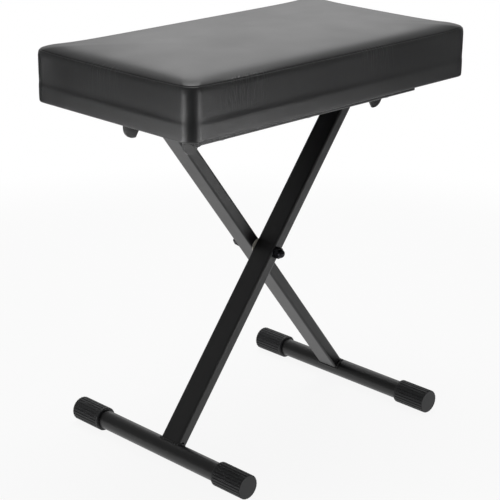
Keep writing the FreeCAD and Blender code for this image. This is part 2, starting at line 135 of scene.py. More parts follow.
def faux_leather():
    material, tree = new_material("black_pvc_faux_leather")
    place = add(tree, "ShaderNodeTexCoord").outputs["Object"]
    pebbles = add(tree, "ShaderNodeTexVoronoi", {"Vector": place, "Scale": 1 / GRAIN_SIZE}, feature="SMOOTH_F1")
    cloudy = add(tree, "ShaderNodeTexNoise", {"Vector": place, "Scale": 1 / mm(70), "Detail": 4.0})
    grain = bump(tree, pebbles.outputs["Distance"], 0.25, mm(0.15))
    on_cover = add(tree, "ShaderNodeUVMap", uv_map="cover")
    stretched = add(tree, "ShaderNodeMapping", {"Vector": on_cover.outputs["UV"],
                                                "Scale": (1 / CREASE_WIDTH, 1 / CREASE_LENGTH, 1.0)})
    creases = add(tree, "ShaderNodeTexNoise", {"Vector": stretched.outputs["Vector"], "Scale": 1.0, "Detail": 3.0,
                                               "Roughness": 0.55, "Distortion": 0.6}, noise_dimensions="2D")
    ridges = add(tree, "ShaderNodeMapRange", {"Value": creases.outputs["Fac"], "From Min": 0.35, "From Max": 0.65},
                 interpolation_type="SMOOTHSTEP")
    pucker = add(tree, "ShaderNodeAttribute", attribute_name="pucker")
    depth = add(tree, "ShaderNodeMath", {0: ridges.outputs["Result"], 1: pucker.outputs["Fac"]},
                operation="MULTIPLY")
    folds = bump(tree, depth.outputs["Value"], 1.0, CREASE_DEPTH, Normal=grain)
    rough = add(tree, "ShaderNodeMapRange", {"Value": cloudy.outputs["Fac"], "To Min": 0.33, "To Max": 0.44})
    tint = blend(tree, cloudy.outputs["Fac"], "#161617", "#1f1f20")
    principled(tree, tint, rough.outputs["Result"], folds, IOR=1.5)
    return material


# %% [markdown]
# ## Paint, rubber and plastic
# The tubes, hooks and rails are powder coated: the paint is sprayed on dry and baked, and it flows into a skin with
# a slight orange peel. The caps are moulded rubber, which is duller, and the small plugs are moulded polyethylene.
# All three are black with a fine uneven surface, so one function makes them from a colour, a roughness and the size
# of their bumps.

# %% Moulded and sprayed blacks
def uneven_black(name, dark, light, roughness, bump_size, bump_height, patch_size=40.0):
    """A black surface with small bumps and faint patches of gloss. Sizes are in millimetres."""
    material, tree = new_material(name)
    place = add(tree, "ShaderNodeTexCoord").outputs["Object"]
    bumps = add(tree, "ShaderNodeTexNoise", {"Vector": place, "Scale": 1 / mm(bump_size), "Detail": 2.0})
    patches = add(tree, "ShaderNodeTexNoise", {"Vector": place, "Scale": 1 / mm(patch_size), "Detail": 3.0})
    surface = bump(tree, bumps.outputs["Fac"], 0.5, mm(bump_height))
    tint = blend(tree, patches.outputs["Fac"], dark, light)
    rough = add(tree, "ShaderNodeMapRange", {"Value": patches.outputs["Fac"], "To Min": roughness - 0.05,
                                             "To Max": roughness + 0.05})
    principled(tree, tint, rough.outputs["Result"], surface, IOR=1.5)
    return material


POWDER_COAT = uneven_black("black_powder_coated_steel", "#0c0c0d", "#121213", 0.36, 2.2, 0.12)
RUBBER = uneven_black("black_moulded_rubber", "#17181a", "#1e1f21", 0.55, 1.2, 0.15)
PLUG_PLASTIC = uneven_black("black_moulded_polyethylene", "#131314", "#19191a", 0.48, 1.6, 0.08)
LEATHER = faux_leather()

# %% [markdown]
# ## Bare and plated metal
# The pivot's bolt and domed nut have a black oxide finish, which is still a metal surface: dark, with a tight
# reflection. The screws, the tee nuts and the sleeves in the legs are bright zinc plate, which is brushed by
# tumbling. Metal keeps the shader's usual IOR, and only its colour and roughness differ.

# %% Metals
def plated_metal(name, dark, light, roughness, brushing):
    """A metal with fine streaks. Brushing is their width in millimetres."""
    material, tree = new_material(name)
    place = add(tree, "ShaderNodeTexCoord").outputs["Object"]
    streak = add(tree, "ShaderNodeMapping", {"Vector": place, "Scale": (1.0, 1.0, 0.15)})
    marks = add(tree, "ShaderNodeTexNoise", {"Vector": streak.outputs["Vector"], "Scale": 1 / mm(brushing),
                                             "Detail": 3.0})
    tint = blend(tree, marks.outputs["Fac"], dark, light)
    rough = add(tree, "ShaderNodeMapRange", {"Value": marks.outputs["Fac"], "To Min": roughness - 0.08,
                                             "To Max": roughness + 0.08})
    surface = bump(tree, marks.outputs["Fac"], 0.3, mm(0.05))
    principled(tree, tint, rough.outputs["Result"], surface, Metallic=1.0)
    return material


BLACK_OXIDE = plated_metal("black_oxide_steel", "#1d1d1f", "#333336", 0.3, 1.2)
ZINC = plated_metal("zinc_plated_steel", "#a9abb0", "#c8c9cc", 0.32, 0.9)

# %% [markdown]
# ## Wood, cloth and nylon
# The seat board is plywood with its plies edge-on at the sides, drawn as thin bands up the board's thickness. A wave
# texture of scale 1 repeats every 0.314 of a unit, so that number over a ply's thickness gives one band to a ply. The
# dust cover under the seat is a black spun-bonded cloth, a felt of loose fibres pressed flat. The spacer between the
# legs is natural nylon.

# %% Plywood
WAVE_PERIOD = 0.314
PLY_THICKNESS = mm(3)


def plywood():
    material, tree = new_material("birch_plywood")
    place = add(tree, "ShaderNodeTexCoord").outputs["Object"]
    plies = add(tree, "ShaderNodeTexWave", {"Vector": place, "Scale": WAVE_PERIOD / PLY_THICKNESS,
                                            "Distortion": 0.3}, wave_type="BANDS", bands_direction="Z")
    long_grain = add(tree, "ShaderNodeMapping", {"Vector": place, "Scale": (0.08, 1.0, 1.0)})
    fibres = add(tree, "ShaderNodeTexNoise", {"Vector": long_grain.outputs["Vector"], "Scale": 1 / mm(2.5),
                                              "Detail": 5.0})
    wood = blend(tree, fibres.outputs["Fac"], blend(tree, plies.outputs["Fac"], "#9b7650", "#cfae82"), "#d9bd94")
    principled(tree, wood, 0.62, bump(tree, fibres.outputs["Fac"], 0.4, mm(0.2)))
    return material


PLYWOOD = plywood()


# %% Spun-bonded cloth and nylon
def spun_cloth():
    material, tree = new_material("black_spun_bonded_cloth")
    place = add(tree, "ShaderNodeTexCoord").outputs["Object"]
    fibres = add(tree, "ShaderNodeTexNoise", {"Vector": place, "Scale": 1 / mm(1.4), "Detail": 6.0,
                                              "Distortion": 1.5})
    dimples = add(tree, "ShaderNodeTexVoronoi", {"Vector": place, "Scale": 1 / mm(1.8), "Randomness": 0.15})
    relief = add(tree, "ShaderNodeMath", {0: fibres.outputs["Fac"], 1: dimples.outputs["Distance"]},
                 operation="ADD")
    tint = blend(tree, fibres.outputs["Fac"], "#121213", "#202021")
    principled(tree, tint, 0.9, bump(tree, relief.outputs["Value"], 0.6, mm(0.3)))
    return material


SPUN_CLOTH = spun_cloth()
NYLON = uneven_black("natural_nylon", "#c9c6ba", "#d6d3c8", 0.4, 1.5, 0.05)

# %% [markdown]
# ## The cushion's shape
# The cover is a box of faux leather over foam on a board: a border sewn to a top panel. The board's edge shows
# through as a flat band along the bottom, and above it the foam gives way and leans in a little towards the seam.
# Rings of points around the seat describe it well, because the band, the border, the seam and the top panel all
# follow the same rounded rectangle. Each ring is that rectangle, drawn in by an inset, at its own height.

# %% Sizes of the cushion
SEAT_LOW, SEAT_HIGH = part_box("seat_cover")
HALF_LENGTH = (SEAT_HIGH.x - SEAT_LOW.x) / 2
HALF_WIDTH = (SEAT_HIGH.y - SEAT_LOW.y) / 2
UNDERSIDE = SEAT_LOW.z
CROWN = mm(6.5)
SEAM_HEIGHT = SEAT_HIGH.z - UNDERSIDE - CROWN
CORNER = mm(16)
HEM = mm(26)
BOARD_BAND = mm(21)
FOAM_RISE = SEAM_HEIGHT - BOARD_BAND
CORNER_STEPS = 8
POINT_PITCH = mm(6)
ALONG = round((2 * HALF_LENGTH - 2 * CORNER) / POINT_PITCH)
ACROSS = round((2 * HALF_WIDTH - 2 * CORNER) / POINT_PITCH)
print("seam", round(SEAM_HEIGHT * 1000, 1), "mm above the underside")

# %% [markdown]
# Between the corners, where nothing holds it out, the tight cover pulls the border in and the seam down. Most of that
# happens in the first few centimetres from a corner, so the pull follows a curve that rises fast and levels off. This
# is also what makes the bright upright streaks beside each corner of the real seat: the sides aren't flat there.

# %% One ring of the cushion
PULL_LENGTH = mm(24)


def pull_share(from_corner, side_length):
    """How far a point of a side is pulled in, from 0 at a corner to almost 1 in the middle."""
    rise = 1 - math.exp(-from_corner / PULL_LENGTH)
    fall = 1 - math.exp(-(side_length - from_corner) / PULL_LENGTH)
    return rise * fall


def ring(inset, height, draw_in=0.0, drop=0.0):
    """Points of the seat's rounded rectangle. Draw-in and drop are how far the sides' middles go in and down."""
    radius = CORNER * (1 - inset / HALF_WIDTH)
    half_x, half_y = HALF_LENGTH - inset - radius, HALF_WIDTH - inset - radius
    centres = [(half_x, half_y), (-half_x, half_y), (-half_x, -half_y), (half_x, -half_y)]
    points = []
    for corner, (cx, cy) in enumerate(centres):
        start = math.pi / 2 * corner
        for i in range(CORNER_STEPS):
            angle = start + math.pi / 2 * i / CORNER_STEPS
            points.append((cx + radius * math.cos(angle), cy + radius * math.sin(angle), height))
        outward = np.array((math.cos(start + math.pi / 2), math.sin(start + math.pi / 2)))
        first = np.array((cx, cy)) + outward * radius
        last = np.array(centres[(corner + 1) % 4]) + outward * radius
        steps = ACROSS if corner % 2 else ALONG
        side_length = float(np.linalg.norm(last - first))
        for i in range(steps):
            share = i / steps
            pull = pull_share(share * side_length, side_length)
            x, y = first + (last - first) * share - outward * draw_in * pull
            points.append((x, y, height - drop * pull))
    return np.array(points)


# %% [markdown]
# The rings run from the hem under the seat, round the tight lower edge, up the band and the border to the seam, and
# over the top panel. The lists below give each ring's height and inset. The pull starts at the top of the board and
# grows up to the seam, and on the top panel it fades out again over a few centimetres.

# %% The rings from the hem, up the border and over the top
SIDE_PULL = mm(3.4)
SEAM_DROP = mm(2.8)
SEAM_INSET = mm(1.8)


def border_rings():
    """Rings from the tucked lower edge to the seam."""
    tuck = [(mm(0.0), mm(1.5)), (mm(0.4), mm(0.5)), (mm(1.6), mm(0.1))]
    band = [(mm(7.0), 0.0), (mm(12.0), 0.0), (mm(17.0), 0.0), (BOARD_BAND, 0.0)]
    foam = [(BOARD_BAND + mm(2.5), mm(0.3)), (BOARD_BAND + mm(6.0), mm(0.4))]
    rise = [(BOARD_BAND + FOAM_RISE * share, mm(0.2)) for share in (0.3, 0.45, 0.6, 0.75)]
    edge = [(SEAM_HEIGHT - mm(6.0), mm(0.2)), (SEAM_HEIGHT - mm(2.5), mm(0.8)), (SEAM_HEIGHT, SEAM_INSET)]
    rings = []
    for height, inset in tuck + band + foam + rise + edge:
        share = max(0.0, (height - BOARD_BAND) / FOAM_RISE)
        rings.append(ring(inset, UNDERSIDE + height, SIDE_PULL * share ** 0.6, SEAM_DROP * share ** 2))
    return rings


def crown_height(inset):
    """Height of the top panel above the seam: a rounded edge, then a gentle dome."""
    share = min(1.0, inset / HALF_WIDTH)
    edge = 1 - math.exp(-inset / mm(8))
    dome = math.sin(share * math.pi / 2) ** 1.2
    return CROWN * (0.75 * edge + 0.25 * dome)


def top_rings(count=24):
    """Rings from the seam inward, closer together near the seam, down to a slot about 1 mm wide."""
    rings = []
    furthest = HALF_WIDTH - SEAM_INSET - mm(0.6)
    for i in range(1, count + 1):
        inset = furthest * (i / count) ** 1.15
        height = UNDERSIDE + SEAM_HEIGHT + crown_height(inset)
        pull = SIDE_PULL * math.exp(-inset / mm(30))
        drop = SEAM_DROP * math.exp(-inset / mm(14))
        rings.append(ring(SEAM_INSET + inset, height, pull, drop))
    return rings


def cushion_rings():
    """Every ring, in order, and the number of the ring on the seam."""
    hem = [ring(HEM, UNDERSIDE + mm(1.3)), ring(HEM, UNDERSIDE), ring(HEM * 0.6, UNDERSIDE), ring(mm(4), UNDERSIDE)]
    border = border_rings()
    return hem + border + top_rings(), len(hem) + len(border) - 1


RINGS, SEAM_RING = cushion_rings()
PER_RING = len(RINGS[0])
print("rings", len(RINGS), "of", PER_RING, "points, seam on ring", SEAM_RING)


# %% [markdown]
# ## A mesh from rings
# Neighbouring rings are joined by a strip of quads. The first ring, under the board, is closed by one face, and the
# last one, a long slot in the top, by a ladder of quads. Faces with many sides are split into triangles, because they
# smooth slowly. The same function serves the rough cushion for the cloth simulation and the finished one.

# %% Joining the rings
def close_top(shape, rim):
    """Closes the last ring, a long thin slot, with a ladder of quads between its two long sides."""
    first = CORNER_STEPS
    opposite = first + ALONG + 2 * CORNER_STEPS + ACROSS + ALONG
    for i in range(ALONG):
        shape.faces.new((rim[first + i], rim[first + i + 1], rim[opposite - i - 1], rim[opposite - i]))
    left = [rim[k] for k in range(first + ALONG, first + ALONG + 2 * CORNER_STEPS + ACROSS + 1)]
    right = [rim[k % len(rim)] for k in range(opposite, len(rim) + first + 1)]
    for side in (left, right):
        shape.faces.new(side)


def mesh_from_rings(name, rings):
    points = np.concatenate(rings)
    count = len(rings[0])
    faces = []
    for j in range(len(rings) - 1):
        for i in range(count):
            k = (i + 1) % count
            faces.append((j * count + i, j * count + k, (j + 1) * count + k, (j + 1) * count + i))
    faces.append(tuple(reversed(range(count))))
    mesh = bpy.data.meshes.new(name)
    mesh.from_pydata([tuple(p) for p in points], [], faces)
    shape = bmesh.new()
    shape.from_mesh(mesh)
    shape.verts.ensure_lookup_table()
    close_top(shape, [shape.verts[len(points) - count + i] for i in range(count)])
    bmesh.ops.triangulate(shape, faces=[face for face in shape.faces if len(face.verts) > 4])
    shape.to_mesh(mesh)
    shape.free()
    return mesh


# %% [markdown]
# ## Filling the cushion
# Foam under a tight cover pushes out against the seams, and cloth simulation gives that swelling without guessing at
# it. The rough cushion becomes a piece of cloth with air pressure inside and no gravity. The hem, the band over the
# board and, more softly, the seam are pinned, so only the border and the top panel can move. After 20 steps the
# shape is read back. This foam is firm and shows only a little of the swelling, so all of the moves are scaled down
# until the largest is just over a millimetre.

# %% The cloth simulation
SEAM_HOLD = 0.6
LARGEST_SWELL = mm(1.2)
CLOTH_STEPS = 20


def hold_strengths():
    """How firmly each ring is held, from 0, free, to 1, fixed."""
    strengths = np.zeros(len(RINGS))
    board_rings = [j for j, points in enumerate(RINGS) if points[0][2] <= UNDERSIDE + BOARD_BAND + mm(0.5)]
    strengths[board_rings] = 1.0
    strengths[SEAM_RING] = SEAM_HOLD
    return strengths


def fill_with_air(rings):
    """Rings after a short cloth simulation with air pressure inside."""
    start = np.array(rings)
    rough = bpy.data.objects.new("rough_cushion", mesh_from_rings("rough_cushion", rings))
    bpy.context.scene.collection.objects.link(rough)
    held = rough.vertex_groups.new(name="held")
    for j, strength in enumerate(hold_strengths()):
        if strength:
            held.add(list(range(j * PER_RING, (j + 1) * PER_RING)), float(strength), "REPLACE")
    cloth = rough.modifiers.new("cloth", "CLOTH")
    cloth.settings.quality = 6
    cloth.settings.use_pressure = True
    cloth.settings.uniform_pressure_force = 4.0
    cloth.settings.vertex_group_mass = "held"
    cloth.settings.tension_stiffness = 30
    cloth.settings.compression_stiffness = 30
    cloth.settings.bending_stiffness = 4
    cloth.settings.effector_weights.gravity = 0
    for number in range(1, CLOTH_STEPS + 1):
        bpy.context.scene.frame_set(number)
    settled = rough.evaluated_get(bpy.context.evaluated_depsgraph_get()).to_mesh()
    moved = np.array([v.co for v in settled.vertices]).reshape(start.shape) - start
    bpy.data.objects.remove(rough)
    bpy.context.scene.frame_set(1)
    largest = float(np.linalg.norm(moved, axis=2).max())
    print("largest move", round(largest * 1000, 2), "mm before it is scaled down")
    return start + moved * min(1.0, LARGEST_SWELL / largest)


FILLED = fill_with_air(RINGS)

# %% [markdown]
# ## The seam
# The top panel and the border meet in a seam that is pulled tight, so it sinks into a narrow valley with a soft lip
# on each side. One ring of points can't be a valley, so the seam's ring becomes five: a lip and a shoulder on each
# side of a sunken middle. Creases are marked where the cover puckers, by a number that fades out below the seam.
# Each pucker is given by where it is on the seam, how far it reaches along it and how strong it is.

# %% Sinking the seam
SEAM_DEPTH = mm(1.5)
LIP = mm(0.8)
LIP_RISE = mm(0.15)
SHOULDER = mm(2.2)


def unit(vectors):
    return vectors / np.linalg.norm(vectors, axis=-1, keepdims=True)


def with_seam(rings):
    seam = rings[SEAM_RING]
    down = unit(rings[SEAM_RING - 1] - seam)
    inward = unit(rings[SEAM_RING + 1] - seam)
    sunk = unit(down + inward)
    valley = [seam + down * SHOULDER, seam + down * LIP - sunk * LIP_RISE, seam + sunk * SEAM_DEPTH,
              seam + inward * LIP - sunk * LIP_RISE, seam + inward * SHOULDER]
    return [*rings[:SEAM_RING], *valley, *rings[SEAM_RING + 1:]]


# %% Where the cover puckers
PUCKERS = [
    (mm(-160), -HALF_WIDTH, mm(48), 1.0),
    (mm(72), -HALF_WIDTH, mm(40), 0.9),
    (-HALF_LENGTH, mm(10), mm(36), 0.7),
    (mm(60), HALF_WIDTH, mm(44), 0.8),
    (HALF_LENGTH, mm(-30), mm(38), 0.8),
]
PUCKER_DROP = mm(46)
PUCKER_START = mm(1.5)
FAINT_PUCKER = 0.12


def pucker_strength(point, seam_z):
    """How creased the cover is at a point, from 0 to 1."""
    below = seam_z - point[2]
    if below < 0:
        return 0.0
    fade = max(0.0, 1 - below / PUCKER_DROP) * min(1.0, below / PUCKER_START)
    near = FAINT_PUCKER
    for x, y, reach, strength in PUCKERS:
        distance = math.hypot(point[0] - x, point[1] - y)
        near = max(near, strength * max(0.0, 1 - (distance / reach) ** 2))
    return near * fade


# %% The map of the cover
def distances_around(points):
    steps = np.linalg.norm(np.roll(points, -1, axis=0) - points, axis=1)
    return np.concatenate(([0.0], np.cumsum(steps)))


AROUND_SEAM = distances_around(RINGS[SEAM_RING])
print("the seam is", round(AROUND_SEAM[PER_RING], 2), "m long")


def map_the_cover(mesh, seam_z):
    """A UV map in metres: around the seat, and down from the seam."""
    uv_map = mesh.uv_layers.new(name="cover")
    for face in mesh.polygons:
        numbers = [mesh.loops[i].vertex_index % PER_RING for i in face.loop_indices]
        wraps = max(numbers) - min(numbers) > PER_RING // 2
        for i in face.loop_indices:
            vertex = mesh.loops[i].vertex_index
            number = vertex % PER_RING
            place = AROUND_SEAM[PER_RING] if wraps and number == 0 else AROUND_SEAM[number]
            uv_map.data[i].uv = (place, seam_z - mesh.vertices[vertex].co.z)


# %% The finished cushion
def finished_cushion():
    mesh = mesh_from_rings("cushion", with_seam(FILLED))
    seam_z = UNDERSIDE + SEAM_HEIGHT
    map_the_cover(mesh, seam_z)
    pucker = mesh.attributes.new("pucker", "FLOAT", "POINT")
    pucker.data.foreach_set("value", [pucker_strength(v.co, seam_z) for v in mesh.vertices])
    cushion = bpy.data.objects.new("cushion", mesh)
    bpy.context.scene.collection.objects.link(cushion)
    mesh.materials.append(LEATHER)
    mesh.shade_smooth()
    smoother = cushion.modifiers.new("smoother", "SUBSURF")
    smoother.levels = smoother.render_levels = 1
    return cushion


CUSHION = finished_cushion()
print("cushion faces", len(CUSHION.data.polygons))
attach(CUSHION, "seat")
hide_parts("seat_cover", "seat_foam")

# %% [markdown]
# ## Turning a geometry tree into a piece
# Three things on the bench repeat by a rule: the ribs of the rubber caps, the beads of the welds and the staples
# under the seat. Each is a Geometry Nodes tree with named sizes. A tree's inputs are set on the modifier by their
# identifiers, the result is read back as a plain mesh, and the modifier goes, so what is left is an ordinary piece.

# %% Helpers for geometry trees
def geometry_tree(name, sizes):
    """A tree that starts from a line and has named inputs. It gives the tree and its input sockets."""
    tree = bpy.data.node_groups.new(name, "GeometryNodeTree")
    tree.interface.new_socket("Geometry", in_out="OUTPUT", socket_type="NodeSocketGeometry")
    tree.interface.new_socket("Line", in_out="INPUT", socket_type="NodeSocketGeometry")
    for size, kind in {**sizes, "Finish": "NodeSocketMaterial"}.items():
        tree.interface.new_socket(size, in_out="INPUT", socket_type=kind)
    return tree, add(tree, "NodeGroupInput").outputs


def close_tree(tree, given, shape):
    """Ends a tree: instances become mesh, with smooth shading and the finish."""
    real = add(tree, "GeometryNodeRealizeInstances", {"Geometry": shape})
    smooth = add(tree, "GeometryNodeSetShadeSmooth", {"Geometry": real.outputs["Geometry"]})
    painted = add(tree, "GeometryNodeSetMaterial", {"Geometry": smooth.outputs["Geometry"],
                                                    "Material": given["Finish"]})
    add(tree, "NodeGroupOutput", {"Geometry": painted.outputs["Geometry"]})


def lines_mesh(name, lines):
    """A mesh of edges alone, one run of them for each list of points."""
    points, edges = [], []
    for line in lines:
        first = len(points)
        points.extend(line)
        edges.extend((first + i, first + i + 1) for i in range(len(line) - 1))
    mesh = bpy.data.meshes.new(name)
    mesh.from_pydata(points, edges, [])
    return mesh


def grown(name, tree, line, sizes):
    """The mesh object that a tree makes from a line and its sizes."""
    source = bpy.data.objects.new(name + "_start", line)
    bpy.context.scene.collection.objects.link(source)
    nodes = source.modifiers.new("grow", "NODES")
    nodes.node_group = tree
    for item in tree.interface.items_tree:
        if item.in_out == "INPUT" and item.name in sizes:
            nodes[item.identifier] = sizes[item.name]
    bpy.context.view_layer.update()
    result = bpy.data.meshes.new_from_object(source.evaluated_get(bpy.context.evaluated_depsgraph_get()))
    source.modifiers.remove(nodes)
    bpy.data.objects.remove(source)
    piece = bpy.data.objects.new(name, result)
    result.name = name
    bpy.context.scene.collection.objects.link(piece)
    return piece


# %% Helpers for sums inside a tree
def math_node(tree, operation, first, second=0.0):
    """The result of one sum. It serves geometry and shader trees alike."""
    return add(tree, "ShaderNodeMath", {0: first, 1: second}, operation=operation).outputs["Value"]


def between(tree, value, low, high, to_low=0.0, to_high=1.0):
    """A smooth step of a value, from one number to another."""
    return add(tree, "ShaderNodeMapRange", {"Value": value, "From Min": low, "From Max": high, "To Min": to_low,
                                            "To Max": to_high}, interpolation_type="SMOOTHSTEP").outputs["Result"]


def sampled(tree, shape, value, index):
    """The value of a field at one point of another shape."""
    node = add(tree, "GeometryNodeSampleIndex", {"Geometry": shape, "Index": index}, data_type="FLOAT_VECTOR",
               domain="POINT")
    tree.links.new(value, node.inputs["Value"])
    return node.outputs["Value"]


# %% [markdown]
# ## Ribbed rubber caps
# Each end of a foot bar wears a moulded rubber cap with ribs along it for grip. The grooves between the ribs start
# behind a plain collar and run out over the closed end, so the end disc has a notched rim. The whole skin is one
# grid: across it runs the turn around the cap, and up it runs the profile, which starts inside the bore and ends in
# the middle of the end disc. A pulse that repeats with the ribs presses the grooves in, and where the rubber stands
# on the floor the skin is pushed flat.

# %% The profile of a cap
CAP_RADIUS = mm(16)
CAP_LENGTH = mm(50)
CAP_BORE = mm(12.55)
CAP_END = mm(3.5)
CAP_ROUND = mm(1.2)
CAP_COLLAR = mm(2.5)
CAP_DISC = mm(14.2)
CAP_SIDE_STEPS = (0.5, 1.5, 2.5, 2.9, 3.3, 3.7, 4.3, 15.0, 30.0, 44.0, 48.2)
ROUND_STEPS = 6


def cap_profile():
    """Points of the cap's outline: the distance from its middle line, and the distance from its open end."""
    inside = [(0.0, CAP_LENGTH - CAP_END), (CAP_BORE, CAP_LENGTH - CAP_END), (CAP_BORE, mm(0.3))]
    mouth = [(CAP_BORE + mm(0.3), 0.0), (CAP_RADIUS - mm(0.5), 0.0), (CAP_RADIUS - mm(0.15), mm(0.15))]
    side = [(CAP_RADIUS, mm(step)) for step in CAP_SIDE_STEPS]
    rim = []
    for i in range(ROUND_STEPS + 1):
        turn = math.pi / 2 * i / ROUND_STEPS
        rim.append((CAP_RADIUS - CAP_ROUND * (1 - math.cos(turn)), CAP_LENGTH - CAP_ROUND * (1 - math.sin(turn))))
    disc = [(CAP_DISC, CAP_LENGTH), (mm(8), CAP_LENGTH), (0.0, CAP_LENGTH)]
    return [(radius, along, 0.0) for radius, along in inside + mouth + side + rim + disc]


print("points of the cap's profile", len(cap_profile()))


# %% The grooves between the ribs
POINTS_PER_RIB = 12
GROOVE_START = mm(1.2)


def groove_depth(tree, given, around_share, along):
    """How deep the skin is pressed in, at a share of the turn around the cap and a distance along it."""
    rib_phase = math_node(tree, "FRACT", math_node(tree, "MULTIPLY", around_share, given["Ribs"]))
    pitch = math_node(tree, "DIVIDE", math_node(tree, "MULTIPLY", given["Radius"], math.tau), given["Ribs"])
    from_groove = math_node(tree, "ABSOLUTE", math_node(tree, "SUBTRACT", rib_phase, 0.5))
    from_groove = math_node(tree, "MULTIPLY", from_groove, pitch)
    half_width = math_node(tree, "MULTIPLY", given["Groove Width"], 0.5)
    pulse = between(tree, from_groove, math_node(tree, "MULTIPLY", half_width, 0.2), half_width, 1.0, 0.0)
    started = between(tree, math_node(tree, "SUBTRACT", along, given["Collar"]), 0.0, GROOVE_START)
    return math_node(tree, "MULTIPLY", math_node(tree, "MULTIPLY", pulse, started), given["Groove Depth"])


# %% The tree of a ribbed cap
def profile_grid(tree, given):
    """A flat grid with a row for each point of the profile. It also gives the share of the turn and the profile."""
    rows = add(tree, "GeometryNodeAttributeDomainSize", {"Geometry": given["Line"]}, component="MESH")
    rows = rows.outputs["Point Count"]
    columns = math_node(tree, "ADD", math_node(tree, "MULTIPLY", given["Ribs"], POINTS_PER_RIB), 1.0)
    grid = add(tree, "GeometryNodeMeshGrid", {"Size X": 1.0, "Size Y": 1.0, "Vertices X": columns,
                                              "Vertices Y": rows})
    here = add(tree, "GeometryNodeInputPosition").outputs["Position"]
    cell = add(tree, "ShaderNodeSeparateXYZ", {"Vector": here}).outputs
    around_share = math_node(tree, "ADD", cell["X"], 0.5)
    row = math_node(tree, "MULTIPLY", math_node(tree, "ADD", cell["Y"], 0.5), math_node(tree, "SUBTRACT", rows, 1.0))
    row = add(tree, "FunctionNodeFloatToInt", {"Float": row}, rounding_mode="ROUND").outputs["Integer"]
    outline = add(tree, "ShaderNodeSeparateXYZ", {"Vector": sampled(tree, given["Line"], here, row)}).outputs
    return grid.outputs["Mesh"], around_share, outline


def cap_tree():
    sizes = {"Radius": "NodeSocketFloat", "Collar": "NodeSocketFloat", "Ribs": "NodeSocketInt",
             "Groove Depth": "NodeSocketFloat", "Groove Width": "NodeSocketFloat", "Flat Height": "NodeSocketFloat"}
    tree, given = geometry_tree("ribbed_cap", sizes)
    grid, around_share, outline = profile_grid(tree, given)
    depth = groove_depth(tree, given, around_share, outline["Y"])
    radius = math_node(tree, "MINIMUM", outline["X"], math_node(tree, "SUBTRACT", given["Radius"], depth))
    turn = math_node(tree, "MULTIPLY", around_share, math.tau)
    across = math_node(tree, "MULTIPLY", radius, math_node(tree, "SINE", turn))
    up = math_node(tree, "MULTIPLY", radius, math_node(tree, "COSINE", turn))
    up = math_node(tree, "MAXIMUM", up, math_node(tree, "MULTIPLY", given["Flat Height"], -1.0))
    place = add(tree, "ShaderNodeCombineXYZ", {"X": across, "Y": outline["Y"], "Z": up})
    skin = add(tree, "GeometryNodeSetPosition", {"Geometry": grid, "Position": place.outputs["Vector"]})
    joined = add(tree, "GeometryNodeMergeByDistance", {"Geometry": skin.outputs["Geometry"], "Distance": mm(0.004)})
    close_tree(tree, given, joined.outputs["Geometry"])
    return tree


# %% Four caps on the foot bars
CAP_TREE = cap_tree()
CAP_BODIES = {"left": "front_leg_frame", "right": "rear_leg_frame"}
CAP_SIZES = {"Radius": CAP_RADIUS, "Collar": CAP_COLLAR, "Ribs": 24, "Groove Depth": mm(0.95),
             "Groove Width": mm(2.3), "Flat Height": CAP_RADIUS - mm(0.2), "Finish": RUBBER}


def face_outward(mesh):
    shape = bmesh.new()
    shape.from_mesh(mesh)
    bmesh.ops.recalc_face_normals(shape, faces=shape.faces)
    shape.to_mesh(mesh)
    shape.free()


def ribbed_cap(side, end):
    """One cap, turned to its end of the foot bar and moved onto the bar's middle line."""
    replaced = f"{side}_{end}_foot_cap"
    low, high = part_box(replaced)
    cap = grown(f"{side}_{end}_cap", CAP_TREE, lines_mesh("cap_profile", [cap_profile()]), CAP_SIZES)
    outward = -1 if end == "front" else 1
    open_end = high.y if end == "front" else low.y
    cap.data.transform(Matrix.Diagonal((1, outward, 1, 1)))
    cap.data.transform(Matrix.Translation(((low.x + high.x) / 2, open_end, high.z - CAP_RADIUS)))
    face_outward(cap.data)
    cap.data.set_sharp_from_angle(angle=math.radians(40))
    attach(cap, CAP_BODIES[side])
    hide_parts(replaced)
    return cap


CAPS = [ribbed_cap(side, end) for side in CAP_BODIES for end in ("front", "rear")]
print("caps", len(CAPS), "faces each", len(CAPS[0].data.polygons))

# %% [markdown]
# ## Welds and staples
# The legs are welded to the foot bars in a bead that follows the saddle where they meet, and to the crossbars in two
# short beads. A bead of weld is a row of overlapping ripples, so it is made as one: small flattened balls along the
# line, each of a slightly different size. The staples that hold the cover's hem follow a line too, round the
# underside of the seat, so the same tree sets them out, with a small bar in place of the ball. The random value node
# has sockets of one name for each kind of number, so those for plain numbers are found by their places.

# %% The tree that sets things out along a line
FLOAT_MIN, FLOAT_MAX = 2, 3
FLOAT_VALUE = 1


